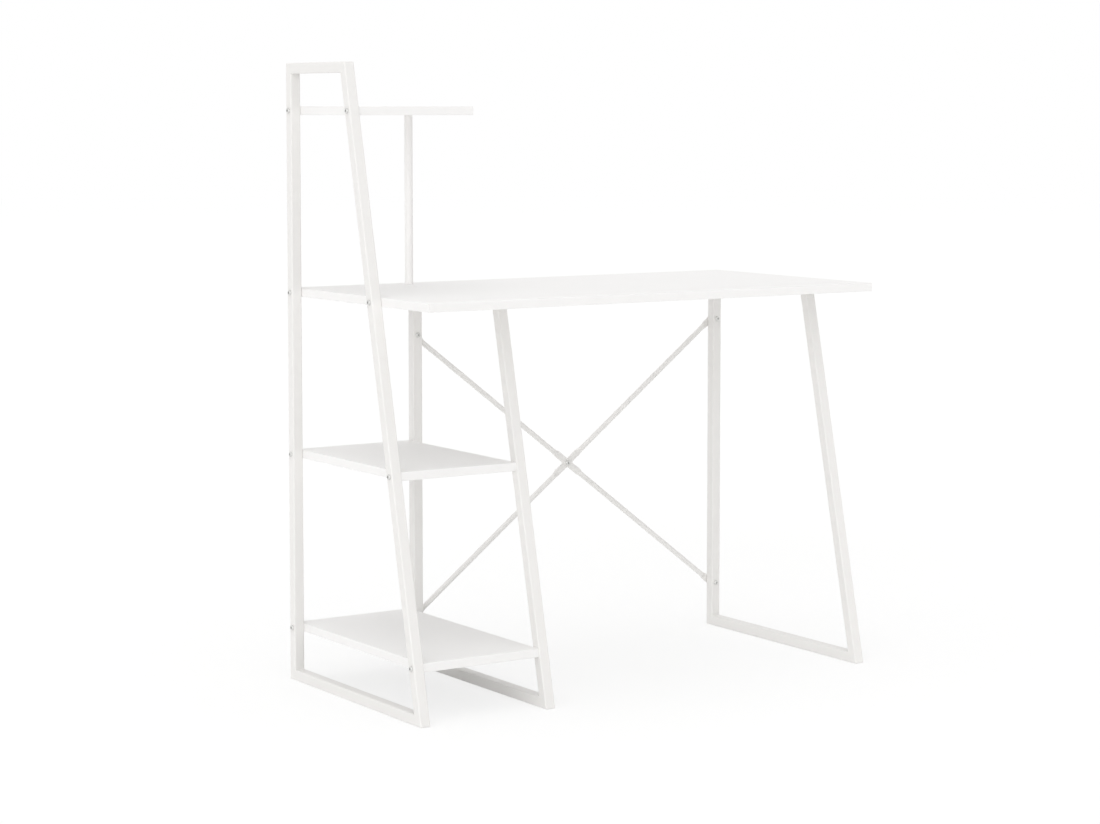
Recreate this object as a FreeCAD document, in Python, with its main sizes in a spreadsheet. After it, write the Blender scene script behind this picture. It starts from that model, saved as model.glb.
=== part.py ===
import FreeCAD, Part
import os
import re

import Sketcher
from FreeCAD import Placement, Rotation, Vector

# A desk with a shelf tower at its left end, in millimetres, +Z up, front toward -Y

doc = FreeCAD.newDocument("DeskWithShelves")
sheet = doc.addObject("Spreadsheet::Sheet", "Sizes")

# Driving dimensions
driving = {
    "tabletop_length": "1000",
    "tabletop_depth": "500",
    "tabletop_height": "747",
    "board_thickness": "16",
    "edge_band": "1",
    "shelf_length": "243",
    "lower_shelf_height": "108",
    "middle_shelf_height": "440",
    "upper_shelf_drop": "81",
    "shelf_setback": "1",
    "frame_height": "1170",
    "rear_overhang": "10",
    "left_top_depth": "226",
    "tube_side": "20",
    "tube_wall": "1.2",
    "tube_corner": "2",
    "low_top_bar_height": "10",
    "right_overhang": "12",
    "post_diameter": "16",
    "post_wall": "1.2",
    "post_end_inset": "15",
    "post_rear_inset": "30",
    "plug_length": "20",
    "brace_diameter": "10",
    "brace_wall": "1",
    "brace_flat_width": "14",
    "brace_flat_thickness": "2",
    "brace_taper": "12",
    "brace_centre_reach": "30",
    "brace_top_drop": "100",
    "brace_foot_height": "89",
    "brace_clearance": "1",
    "bolt_diameter": "6",
    "bolt_head_diameter": "10.5",
    "bolt_head_height": "3.3",
    "bolt_crown_diameter": "6",
    "bolt_tip": "1",
    "bolt_grip": "15",
    "bolt_hole": "6.6",
    "thread_bore": "6.3",
    "socket_flats": "4",
    "socket_depth": "2",
    "screw_head_diameter": "12",
    "screw_head_height": "3",
    "insert_diameter": "8",
    "edge_insert_length": "14",
    "top_insert_length": "10",
    "nut_flats": "10",
    "nut_height": "5",
    "top_bolt_inset": "60",
    "fit_clearance": "0.05",
    "hole_relief": "3",
    "overrun": "2",
}

# Sizes and places worked out from the driving ones
worked_out = {
    "overall_width": "bolt_head_height + tube_side + tabletop_length",
    "left_face": "bolt_head_height - overall_width / 2",
    "board_left": "left_face + tube_side",
    "middle_face": "board_left + shelf_length",
    "right_face": "board_left + tabletop_length - right_overhang - tube_side",
    "frame_depth": "tabletop_depth - rear_overhang",
    "front_face": "-tabletop_depth / 2",
    "rear_face": "front_face + frame_depth",
    "low_frame_height": "tabletop_height - board_thickness",
    "lean": "(frame_depth - left_top_depth) / frame_height",
    "lean_stretch": "sqrt(1 + lean * lean)",
    "leg_depth": "tube_side * lean_stretch",
    "leg_wall": "tube_wall * lean_stretch",
    "tabletop_front": "front_face",
    "tabletop_middle": "tabletop_height - board_thickness / 2",
    "lower_shelf_front": "front_face + lean * lower_shelf_height + shelf_setback",
    "lower_shelf_depth": "rear_face - lower_shelf_front",
    "lower_shelf_middle": "lower_shelf_height - board_thickness / 2",
    "middle_shelf_front": "front_face + lean * middle_shelf_height + shelf_setback",
    "middle_shelf_depth": "rear_face - middle_shelf_front",
    "middle_shelf_middle": "middle_shelf_height - board_thickness / 2",
    "upper_shelf_height": "frame_height - upper_shelf_drop",
    "upper_shelf_front": "front_face + lean * upper_shelf_height + shelf_setback",
    "upper_shelf_depth": "rear_face - upper_shelf_front",
    "upper_shelf_middle": "upper_shelf_height - board_thickness / 2",
    "post_across": "board_left + shelf_length - post_end_inset",
    "post_back": "rear_face - post_rear_inset",
    "post_length": "upper_shelf_height - board_thickness - tabletop_height",
    "plug_diameter": "post_diameter - 2 * post_wall - 2 * fit_clearance",
    "insert_hole": "insert_diameter + 2 * fit_clearance",
    "edge_hole_depth": "edge_insert_length + hole_relief",
    "top_hole_depth": "top_insert_length + hole_relief",
    "edge_bolt_length": "tube_side + edge_insert_length + bolt_tip",
    "top_bolt_length": "low_top_bar_height + top_insert_length + bolt_tip",
    "post_bolt_length": "board_thickness + bolt_grip",
    "brace_bolt_length": "tube_side + brace_flat_thickness + nut_height + bolt_tip",
    "centre_bolt_length": "2 * brace_flat_thickness + nut_height + bolt_tip",
    "crown_step": "(bolt_head_diameter ^ 2 - bolt_crown_diameter ^ 2) / 4",
    "dome_sink": "(crown_step - bolt_head_height ^ 2) / (2 * bolt_head_height)",
    "dome_radius": "sqrt(bolt_head_diameter ^ 2 / 4 + dome_sink ^ 2)",
    "dome_base_latitude": "asin(dome_sink / dome_radius)",
    "dome_crown_latitude": "asin((dome_sink + bolt_head_height) / dome_radius)",
    "socket_radius": "socket_flats / sqrt(3)",
    "nut_radius": "nut_flats / sqrt(3)",
    "brace_plane": "rear_face + brace_flat_thickness / 2",
    "brace_top_height": "tabletop_height - brace_top_drop",
    "brace_run": "right_face - middle_face",
    "brace_rise": "brace_top_height - brace_foot_height",
    "brace_length": "sqrt(brace_run ^ 2 + brace_rise ^ 2)",
    "brace_angle": "atan2(brace_rise; brace_run)",
    "brace_run_share": "brace_run / brace_length",
    "brace_rise_share": "brace_rise / brace_length",
    "brace_end_half": "tube_side / 2 + brace_clearance + brace_flat_width / 2 * brace_rise_share",
    "brace_end_reach": "brace_end_half / brace_run_share",
    "brace_centre_across": "(middle_face + right_face + tube_side) / 2",
    "brace_centre_height": "(brace_top_height + brace_foot_height) / 2",
}

for row, (alias, number) in enumerate(driving.items(), start=1):
    sheet.set(f"A{row}", alias)
    sheet.set(f"B{row}", number)
    sheet.setAlias(f"B{row}", alias)
for row, (alias, formula) in enumerate(worked_out.items(), start=len(driving) + 1):
    sheet.set(f"A{row}", alias)
    sheet.set(f"B{row}", f"={formula}")
    sheet.setAlias(f"B{row}", alias)
doc.recompute()

nodes = []

along_x = Rotation(Vector(0, 1, 0), 90)
against_x = Rotation(Vector(0, 1, 0), -90)
along_y = Rotation(Vector(1, 0, 0), -90)
along_z = Rotation()
against_z = Rotation(Vector(1, 0, 0), 180)


def size(formula):
    return float(sheet.evalExpression(formula))


def bind(item, formulas):
    for name, formula in formulas.items():
        item.setExpression(name, re.sub(r"[a-z_]{3,}", r"Sizes.\g<0>", formula))


def place(item, spot, turn=along_z):
    item.Placement = Placement(Vector(), turn)
    bind(item, {f"Placement.Base.{axis}": formula for axis, formula in zip("xyz", spot)})


def keep(item, label):
    item.Label = label
    nodes.append(item)


# Sketches: corners and circle centres are pairs of formulas measured from the sketch's origin

def start_sketch(body, name, plane, offset="0"):
    sketch = body.newObject("Sketcher::SketchObject", name)
    support = next(item for item in body.Origin.OriginFeatures if item.Role == plane)
    sketch.AttachmentSupport = [(support, "")]
    sketch.MapMode = "FlatFace"
    bind(sketch, {"AttachmentOffset.Base.z": offset})
    return sketch


def pin(sketch, line, end, spot):
    for kind, axis, formula in zip(("DistanceX", "DistanceY"), (-2, -1), spot):
        if formula == "0":
            sketch.addConstraint(Sketcher.Constraint("PointOnObject", line, end, axis))
        else:
            index = sketch.addConstraint(Sketcher.Constraint(kind, -1, 1, line, end, size(formula)))
            bind(sketch, {f"Constraints[{index}]": formula})


def draw_outline(sketch, corners):
    spots = [Vector(size(across), size(along), 0) for across, along in corners]
    for start, end in zip(spots, spots[1:] + spots[:1]):
        sketch.addGeometry(Part.LineSegment(start, end))
    for line, corner in enumerate(corners):
        following = (line + 1) % len(corners)
        sketch.addConstraint(Sketcher.Constraint("Coincident", line, 2, following, 1))
        pin(sketch, line, 1, corner)


def draw_circles(sketch, centres, diameter):
    for across, along in centres:
        spot = Vector(size(across), size(along), 0)
        circle = sketch.addGeometry(Part.Circle(spot, Vector(0, 0, 1), size(diameter) / 2))
        pin(sketch, circle, 3, (across, along))
        index = sketch.addConstraint(Sketcher.Constraint("Diameter", circle, size(diameter)))
        bind(sketch, {f"Constraints[{index}]": diameter})


def add_pad(body, name, sketch, length):
    pad = body.newObject("PartDesign::Pad", name)
    pad.Profile = sketch
    bind(pad, {"Length": length})
    doc.recompute()
    return pad


def add_pocket(body, name, sketch, forward, length=None):
    volume_before = body.Shape.Volume
    pocket = body.newObject("PartDesign::Pocket", name)
    pocket.Profile = sketch
    pocket.Reversed = forward
    if length is None:
        pocket.Type = "ThroughAll"
    else:
        pocket.Type = "Length"
        bind(pocket, {"Length": length})
    doc.recompute()
    if pocket.Shape.Volume >= volume_before:
        raise RuntimeError(f"{name} removed nothing")


# Frames: four mitred tubes each, drawn from the side

def make_tube(node, across, outline, channel, holes):
    body = doc.addObject("PartDesign::Body", node)
    side = start_sketch(body, f"{node}_side", "YZ_Plane")
    draw_outline(side, outline)
    pad = add_pad(body, f"{node}_pad", side, "tube_side")
    by_length = sorted(range(len(pad.Shape.Edges)), key=lambda index: pad.Shape.Edges[index].Length)
    rounding = body.newObject("PartDesign::Fillet", f"{node}_rounding")
    rounding.Base = (pad, [f"Edge{index + 1}" for index in by_length[-4:]])
    bind(rounding, {"Radius": "tube_corner"})
    doc.recompute()
    inside = start_sketch(body, f"{node}_inside", "YZ_Plane", "tube_wall")
    draw_outline(inside, channel)
    add_pocket(body, f"{node}_channel", inside, True, "tube_side - 2 * tube_wall")
    for plane, centres in holes.items():
        drilled = start_sketch(body, f"{node}_{plane}_holes", plane)
        draw_circles(drilled, centres, "bolt_hole")
        add_pocket(body, f"{node}_{plane}_drilled", drilled, plane != "XZ_Plane")
    place(body, (across, "front_face", "0"))
    keep(body, node)


def make_frame(name, across, height, bar_height, board_bolts, brace_bolts, top_bolts):
    inner_rear = "frame_depth - tube_side"
    inner_top = f"{height} - {bar_height}"
    outer = {
        "front_foot": ("0", "0"),
        "rear_foot": ("frame_depth", "0"),
        "rear_top": ("frame_depth", height),
        "front_top": (f"lean * {height}", height),
    }
    inner = {
        "front_foot": ("lean * tube_side + leg_depth", "tube_side"),
        "rear_foot": (inner_rear, "tube_side"),
        "rear_top": (inner_rear, inner_top),
        "front_top": (f"lean * ({inner_top}) + leg_depth", inner_top),
    }
    channels = {
        "foot_bar": (
            ("0", "tube_wall"),
            ("frame_depth", "tube_wall"),
            ("frame_depth", "tube_side - tube_wall"),
            ("0", "tube_side - tube_wall"),
        ),
        "rear_post": (
            (f"{inner_rear} + tube_wall", "0"),
            ("frame_depth - tube_wall", "0"),
            ("frame_depth - tube_wall", height),
            (f"{inner_rear} + tube_wall", height),
        ),
        "top_bar": (
            ("0", f"{inner_top} + tube_wall"),
            ("frame_depth", f"{inner_top} + tube_wall"),
            ("frame_depth", f"{height} - tube_wall"),
            ("0", f"{height} - tube_wall"),
        ),
        "front_leg": (
            ("leg_wall", "0"),
            ("leg_depth - leg_wall", "0"),
            (f"lean * {height} + leg_depth - leg_wall", height),
            (f"lean * {height} + leg_wall", height),
        ),
    }
    ends = {
        "foot_bar": ("front_foot", "rear_foot"),
        "rear_post": ("rear_foot", "rear_top"),
        "top_bar": ("rear_top", "front_top"),
        "front_leg": ("front_top", "front_foot"),
    }
    holes = {bar: {} for bar in ends}
    if board_bolts:
        holes["rear_post"]["YZ_Plane"] = [("frame_depth - tube_side / 2", level) for level in board_bolts]
        holes["front_leg"]["YZ_Plane"] = [(f"lean * {level} + leg_depth / 2", level) for level in board_bolts]
    if brace_bolts:
        holes["rear_post"]["XZ_Plane"] = [("tube_side / 2", level) for level in brace_bolts]
    if top_bolts:
        holes["top_bar"]["XY_Plane"] = [("tube_side / 2", back) for back in top_bolts]
    for bar, (start, end) in ends.items():
        outline = (outer[start], outer[end], inner[end], inner[start])
        make_tube(f"{name}_{bar}", across, outline, channels[bar], holes[bar])


boards = ("lower_shelf", "middle_shelf", "tabletop", "upper_shelf")
low_boards = ("lower_shelf", "middle_shelf")
brace_levels = ("brace_foot_height", "brace_top_height")
top_bolt_backs = ("lean * low_frame_height + top_bolt_inset", "frame_depth - top_bolt_inset")
all_levels = [f"{board}_middle" for board in boards]
low_levels = [f"{board}_middle" for board in low_boards]

low_frame = ("low_frame_height", "low_top_bar_height")
make_frame("left_frame", "left_face", "frame_height", "tube_side", all_levels, (), ())
make_frame("middle_frame", "middle_face", *low_frame, low_levels, brace_levels, top_bolt_backs)
make_frame("right_frame", "right_face", *low_frame, (), brace_levels, top_bolt_backs)


# Solids of the Part workbench

def make_box(name, spot, lengths):
    box = doc.addObject("Part::Box", name)
    place(box, spot)
    bind(box, dict(zip(("Length", "Width", "Height"), lengths)))
    return box


def make_cylinder(name, spot, turn, diameter, length):
    cylinder = doc.addObject("Part::Cylinder", name)
    place(cylinder, spot, turn)
    bind(cylinder, {"Radius": f"({diameter}) / 2", "Height": length})
    return cylinder


def make_cone(name, spot, turn, start_diameter, end_diameter, length):
    cone = doc.addObject("Part::Cone", name)
    place(cone, spot, turn)
    bind(cone, {"Radius1": f"({start_diameter}) / 2", "Radius2": f"({end_diameter}) / 2", "Height": length})
    return cone


def make_hexagon(name, spot, radius, length):
    prism = doc.addObject("Part::Prism", name)
    prism.Polygon = 6
    place(prism, spot)
    bind(prism, {"Circumradius": radius, "Height": length})
    return prism


def join(name, shapes):
    union = doc.addObject("Part::MultiFuse", name)
    union.Shapes = shapes
    return union


def cut(name, base, tool):
    remainder = doc.addObject("Part::Cut", name)
    remainder.Base = base
    remainder.Tool = tool
    return remainder


def gather(node, pieces):
    group = doc.addObject("Part::Compound", node)
    group.Links = pieces
    keep(group, node)


def repeat(node, pattern, spots):
    copies = []
    for number, (spot, turn) in enumerate(spots, start=1):
        copy = doc.addObject("App::Link", f"{node}_{number}")
        copy.LinkedObject = pattern
        place(copy, spot, turn)
        copies.append(copy)
    gather(node, copies)


# Where the bolts go: the spot under the head and the way the shank points

def frame_bolt_spots(across, turn, levels):
    spots = []
    for level in levels:
        spots.append(((across, "rear_face - tube_side / 2", level), turn))
        spots.append(((across, f"front_face + lean * {level} + leg_depth / 2", level), turn))
    return spots


def top_bolt_spots(height):
    return [
        ((f"{face} + tube_side / 2", f"front_face + {back}", height), along_z)
        for face in ("middle_face", "right_face")
        for back in top_bolt_backs
    ]


def brace_end_spots(back):
    return [
        ((f"{face} + tube_side / 2", back, level), along_y)
        for face in ("middle_face", "right_face")
        for level in brace_levels
    ]


# Boards: a core, four edge bands glued round it, and holes through both

def edge_cutters(board):
    level = f"{board}_middle"
    spots = frame_bolt_spots("board_left - overrun", along_x, [level])
    if board in low_boards:
        spots += frame_bolt_spots("middle_face + overrun", against_x, [level])
    return [
        make_cylinder(f"{board}_edge_hole_{number}", spot, turn, "insert_hole", "edge_hole_depth + overrun")
        for number, (spot, turn) in enumerate(spots, start=1)
    ]


def post_hole(board):
    bottom = f"{board}_height - board_thickness - overrun"
    spot = ("post_across", "post_back", bottom)
    return make_cylinder(f"{board}_post_hole", spot, along_z, "bolt_hole", "board_thickness + 2 * overrun")


def face_cutters(board):
    if board == "tabletop":
        cutters = [post_hole(board)]
        for number, (spot, turn) in enumerate(top_bolt_spots("low_frame_height - overrun"), start=1):
            name = f"{board}_face_hole_{number}"
            cutters.append(make_cylinder(name, spot, turn, "insert_hole", "top_hole_depth + overrun"))
        return cutters
    if board == "upper_shelf":
        top = ("post_across", "post_back", f"{board}_height")
        sink = (f"{board}_sink", top, against_z, "screw_head_diameter", "bolt_diameter", "screw_head_height")
        return [post_hole(board), make_cone(*sink)]
    return []


def make_board(board, length):
    bottom = f"{board}_height - board_thickness"
    front = f"{board}_front"
    depth = f"{board}_depth"
    core_spot = ("board_left + edge_band", f"{front} + edge_band", bottom)
    core_lengths = (f"{length} - 2 * edge_band", f"{depth} - 2 * edge_band", "board_thickness")
    end_lengths = ("edge_band", f"{depth} - 2 * edge_band", "board_thickness")
    side_lengths = (length, "edge_band", "board_thickness")
    core = make_box(f"{board}_core", core_spot, core_lengths)
    front_band = make_box(f"{board}_front_band", ("board_left", front, bottom), side_lengths)
    rear_spot = ("board_left", f"{front} + {depth} - edge_band", bottom)
    rear_band = make_box(f"{board}_rear_band", rear_spot, side_lengths)
    left_spot = ("board_left", f"{front} + edge_band", bottom)
    left_band = make_box(f"{board}_left_band", left_spot, end_lengths)
    right_spot = (f"board_left + {length} - edge_band", f"{front} + edge_band", bottom)
    right_band = make_box(f"{board}_right_band", right_spot, end_lengths)
    holes = join(f"{board}_holes", edge_cutters(board) + face_cutters(board))
    keep(cut(f"{board}_panel", core, holes), f"{board}_panel")
    left_drilled = cut(f"{board}_left_band_drilled", left_band, holes)
    if board in low_boards:
        right_band = cut(f"{board}_right_band_drilled", right_band, holes)
    gather(f"{board}_edge_bands", [front_band, rear_band, left_drilled, right_band])


make_board("tabletop", "tabletop_length")
for shelf in ("upper_shelf", "middle_shelf", "lower_shelf"):
    make_board(shelf, "shelf_length")


# Post under the free end of the upper shelf, with a threaded plug in each end

post = doc.addObject("PartDesign::Body", "shelf_post")
post_section = start_sketch(post, "shelf_post_section", "XY_Plane")
draw_circles(post_section, [("0", "0")], "post_diameter")
draw_circles(post_section, [("0", "0")], "post_diameter - 2 * post_wall")
add_pad(post, "shelf_post_pad", post_section, "post_length")
place(post, ("post_across", "post_back", "tabletop_height"))
keep(post, "shelf_post")


# Patterns of the hardware, each lying along +Z from the spot under its head

def make_bore(name, length):
    spot = ("0", "0", "-overrun")
    return make_cylinder(f"{name}_bore", spot, along_z, "thread_bore", f"{length} + 2 * overrun")


def make_sleeve(name, diameter, length):
    outside = make_cylinder(f"{name}_outside", ("0", "0", "0"), along_z, diameter, length)
    return cut(name, outside, make_bore(name, length))


def make_shank(name, length):
    straight_length = f"{length} - bolt_tip"
    tip_sizes = ("bolt_diameter", "bolt_diameter - 2 * bolt_tip", "bolt_tip")
    straight = make_cylinder(f"{name}_shank", ("0", "0", "0"), along_z, "bolt_diameter", straight_length)
    tip = make_cone(f"{name}_tip", ("0", "0", straight_length), along_z, *tip_sizes)
    return [straight, tip]


def make_bolt(name, length):
    dome = doc.addObject("Part::Sphere", f"{name}_dome")
    place(dome, ("0", "0", "dome_sink"), against_z)
    bind(dome, {"Radius": "dome_radius", "Angle1": "dome_base_latitude", "Angle2": "dome_crown_latitude"})
    blank = join(f"{name}_blank", make_shank(name, length) + [dome])
    socket_spot = ("0", "0", "-bolt_head_height - overrun")
    socket = make_hexagon(f"{name}_socket", socket_spot, "socket_radius", "socket_depth + overrun")
    return cut(name, blank, socket)


def make_flush_screw(name, length):
    head_sizes = ("screw_head_diameter", "bolt_diameter", "screw_head_height")
    head = make_cone(f"{name}_head", ("0", "0", "0"), along_z, *head_sizes)
    blank = join(f"{name}_blank", make_shank(name, length) + [head])
    socket = make_hexagon(f"{name}_socket", ("0", "0", "-overrun"), "socket_radius", "socket_depth + overrun")
    return cut(name, blank, socket)


def make_nut(name):
    outside = make_hexagon(f"{name}_outside", ("0", "0", "0"), "nut_radius", "nut_height")
    return cut(name, outside, make_bore(name, "nut_height"))


edge_bolt = make_bolt("edge_bolt", "edge_bolt_length")
top_bolt = make_bolt("top_bolt", "top_bolt_length")
post_bolt = make_bolt("post_bolt", "post_bolt_length")
post_screw = make_flush_screw("post_screw", "post_bolt_length")
brace_bolt = make_bolt("brace_bolt", "brace_bolt_length")
centre_bolt = make_bolt("centre_bolt", "centre_bolt_length")
brace_nut = make_nut("brace_nut")
edge_insert = make_sleeve("edge_insert", "insert_diameter", "edge_insert_length")
top_insert = make_sleeve("top_insert", "insert_diameter", "top_insert_length")
post_plug = make_sleeve("post_plug", "plug_diameter", "plug_length")

repeat("left_frame_bolts", edge_bolt, frame_bolt_spots("left_face", along_x, all_levels))
repeat("middle_frame_bolts", edge_bolt, frame_bolt_spots("middle_face + tube_side", against_x, low_levels))
left_insert_spots = frame_bolt_spots("board_left", along_x, all_levels)
right_insert_spots = frame_bolt_spots("middle_face", against_x, low_levels)
repeat("edge_insert_nuts", edge_insert, left_insert_spots + right_insert_spots)
repeat("tabletop_bolts", top_bolt, top_bolt_spots("low_frame_height - low_top_bar_height"))
repeat("tabletop_insert_nuts", top_insert, top_bolt_spots("low_frame_height"))

lower_end = ("post_across", "post_back", "tabletop_height")
upper_end = ("post_across", "post_back", "tabletop_height + post_length")
under_tabletop = ("post_across", "post_back", "low_frame_height")
over_shelf = ("post_across", "post_back", "upper_shelf_height")
repeat("shelf_post_plugs", post_plug, [(lower_end, along_z), (upper_end, against_z)])
repeat("shelf_post_lower_bolt", post_bolt, [(under_tabletop, along_z)])
repeat("shelf_post_upper_screw", post_screw, [(over_shelf, against_z)])

front_of_crossing = ("brace_centre_across", "brace_plane - brace_flat_thickness", "brace_centre_height")
rear_of_crossing = ("brace_centre_across", "brace_plane + brace_flat_thickness", "brace_centre_height")
repeat("brace_end_bolts", brace_bolt, brace_end_spots("rear_face - tube_side"))
repeat("brace_end_nuts", brace_nut, brace_end_spots("rear_face + brace_flat_thickness"))
repeat("brace_centre_bolt", centre_bolt, [(front_of_crossing, along_y)])
repeat("brace_centre_nut", brace_nut, [(rear_of_crossing, along_y)])


# Braces: round tube pressed flat at both ends and at the crossing

def flat_section(along, lowest, highest, half_width):
    corners = [
        Vector(along, highest, half_width),
        Vector(along, lowest, half_width),
        Vector(along, lowest, -half_width),
        Vector(along, highest, -half_width),
    ]
    return Part.makePolygon(corners + corners[:1])


def round_section(along, radius):
    def rim(angle):
        return Vector(along, 0, 0) + Rotation(Vector(1, 0, 0), angle).multVec(Vector(0, radius, 0))

    quarter = 90
    corners = [quarter * (step + 1 / 2) for step in range(4)]
    return Part.Wire([
        Part.Arc(rim(corner), rim(corner + quarter / 2), rim(corner + quarter)).toShape()
        for corner in corners
    ])


def sweep_section(section, length):
    return Part.Face(section).extrude(Vector(length, 0, 0))


def brace_shape(side):
    radius = size("brace_diameter / 2")
    half_width = size("brace_flat_width / 2")
    thickness = size("brace_flat_thickness")
    taper = size("brace_taper")
    centre_end = size("brace_centre_reach")
    hole_along = size("brace_length / 2")
    tab_start = hole_along - size("brace_end_reach")
    tube_start = centre_end + taper
    tube_length = tab_start - taper - tube_start
    lowest = min(0, side * thickness)
    highest = max(0, side * thickness)

    centre = flat_section(0, lowest, highest, half_width)
    centre_edge = flat_section(centre_end, lowest, highest, half_width)
    tube_edge = round_section(tube_start, radius)
    far_edge = round_section(tube_start + tube_length, radius)
    tab_edge = flat_section(tab_start, -thickness / 2, thickness / 2, half_width)
    tab_round = Part.makeCylinder(
        half_width, thickness, Vector(hole_along, -thickness / 2, 0), Vector(0, 1, 0)
    )
    half = sweep_section(centre, centre_end).multiFuse([
        Part.makeLoft([centre_edge, tube_edge], True, True),
        sweep_section(tube_edge, tube_length),
        Part.makeLoft([far_edge, tab_edge], True, True),
        sweep_section(tab_edge, hole_along - tab_start),
        tab_round,
    ])
    hole_radius = size("bolt_hole / 2")
    hole_length = thickness + 2 * size("overrun")
    hole_start = -size("overrun")
    end_hole = Part.makeCylinder(
        hole_radius, hole_length, Vector(hole_along, hole_start - thickness / 2, 0), Vector(0, 1, 0)
    )
    centre_hole = Part.makeCylinder(
        hole_radius, hole_length, Vector(0, hole_start + lowest, 0), Vector(0, 1, 0)
    )
    bore = Part.makeCylinder(
        radius - size("brace_wall"), tube_length, Vector(tube_start, 0, 0), Vector(1, 0, 0)
    )
    half = half.cut([end_hole, centre_hole, bore])
    other_half = half.copy()
    other_half.rotate(Vector(0, 0, 0), Vector(0, 1, 0), 180)
    return half.fuse(other_half).removeSplitter()


brace_middle = Vector(size("brace_centre_across"), size("brace_plane"), size("brace_centre_height"))
for node, side in (("falling_brace", -1), ("rising_brace", 1)):
    brace = doc.addObject("Part::Feature", node)
    brace.Shape = brace_shape(side)
    brace.Placement = Placement(brace_middle, Rotation(Vector(0, 1, 0), -side * size("brace_angle")))
    keep(brace, node)

doc.recompute()

for item in doc.Objects:
    if "Invalid" in item.State or "Error" in item.State:
        raise RuntimeError(f"{item.Name} is {item.State}")
for node in nodes:
    if node.Shape.isNull() or not node.Shape.isValid():
        raise RuntimeError(f"{node.Label} has no valid shape")

os.makedirs("parts", exist_ok=True)
for node in nodes:
    node.Shape.exportStep(f"parts/{node.Label}.step")
print(len(nodes), "nodes written")
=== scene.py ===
import bmesh
import bpy
import math
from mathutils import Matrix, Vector


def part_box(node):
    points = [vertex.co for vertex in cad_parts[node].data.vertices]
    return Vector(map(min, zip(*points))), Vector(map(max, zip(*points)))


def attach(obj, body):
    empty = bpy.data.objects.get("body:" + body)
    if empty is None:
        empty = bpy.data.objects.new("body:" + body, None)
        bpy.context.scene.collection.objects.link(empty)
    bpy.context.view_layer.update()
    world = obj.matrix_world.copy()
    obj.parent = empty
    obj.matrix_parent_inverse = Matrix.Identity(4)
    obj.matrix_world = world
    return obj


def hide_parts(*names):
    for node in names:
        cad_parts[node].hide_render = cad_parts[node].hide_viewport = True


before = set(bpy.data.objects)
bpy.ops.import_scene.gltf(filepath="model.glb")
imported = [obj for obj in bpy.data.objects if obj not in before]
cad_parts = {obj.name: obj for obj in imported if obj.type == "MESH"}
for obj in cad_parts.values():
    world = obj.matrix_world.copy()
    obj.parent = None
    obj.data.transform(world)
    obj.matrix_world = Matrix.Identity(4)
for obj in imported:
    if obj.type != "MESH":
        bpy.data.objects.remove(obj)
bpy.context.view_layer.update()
print("frame loaded,", len(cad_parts), "nodes")


# node trees: a Wire is a socket that takes plain sums, a Bench makes every other node
class Wire:
    def __init__(self, bench, socket):
        self.bench = bench
        self.socket = socket

    def calc(self, operation, *others):
        return self.bench.calc(operation, self, *others)

    def also(self, output):
        return Wire(self.bench, self.socket.node.outputs[output])

    def __add__(self, other):
        return self.bench.calc("ADD", self, other)

    def __radd__(self, other):
        return self.bench.calc("ADD", other, self)

    def __sub__(self, other):
        return self.bench.calc("SUBTRACT", self, other)

    def __rsub__(self, other):
        return self.bench.calc("SUBTRACT", other, self)

    def __mul__(self, other):
        return self.bench.calc("MULTIPLY", self, other)

    def __rmul__(self, other):
        return self.bench.calc("MULTIPLY", other, self)

    def __truediv__(self, other):
        return self.bench.calc("DIVIDE", self, other)

    def __rtruediv__(self, other):
        return self.bench.calc("DIVIDE", other, self)

    def __mod__(self, other):
        return self.bench.calc("FLOORED_MODULO", self, other)

    def __gt__(self, other):
        return self.bench.calc("GREATER_THAN", self, other)


class Bench:
    def __init__(self, tree):
        self.tree = tree

    def calc(self, operation, *values):
        return self.make("ShaderNodeMath", {"operation": operation}, dict(enumerate(values)))

    def make(self, kind, settings=None, sockets=None, output=0):
        node = self.tree.nodes.new(kind)
        for key, value in (settings or {}).items():
            if key == "items":  # an index switch grows to this many
                while len(node.index_switch_items) < value:
                    node.index_switch_items.new()
            else:
                setattr(node, key, value)
        for key, value in (sockets or {}).items():
            if isinstance(value, Wire):
                self.tree.links.new(value.socket, node.inputs[key])
            else:
                node.inputs[key].default_value = value
        return Wire(self, node.outputs[output]) if node.outputs else None


# what the finishes share
noiseMiddle = 0.5


def newMaterial(name, preview):
    material = bpy.data.materials.new(name)
    material.use_nodes = True
    material.diffuse_color = preview
    material.node_tree.nodes.clear()
    return material, Bench(material.node_tree)


def noise(bench, place, size, detail=2.0, rough=0.5):
    return bench.make(
        "ShaderNodeTexNoise", {},
        {"Vector": place, "Scale": 1 / size, "Detail": detail, "Roughness": rough},
    )


def mixColours(bench, share, first, second):
    # the colour sockets of a Mix node are 6 and 7, and its colour output is 2
    sockets = {0: share, 6: first, 7: second}
    return bench.make("ShaderNodeMix", {"data_type": "RGBA"}, sockets, 2)


def relief(bench, strength, depth, height):
    sockets = {"Strength": strength, "Distance": depth, "Height": height}
    return bench.make("ShaderNodeBump", {}, sockets)


def coat(bench, sockets):
    shader = bench.make("ShaderNodeBsdfPrincipled", {}, sockets)
    bench.make("ShaderNodeOutputMaterial", {}, {"Surface": shader})


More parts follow.
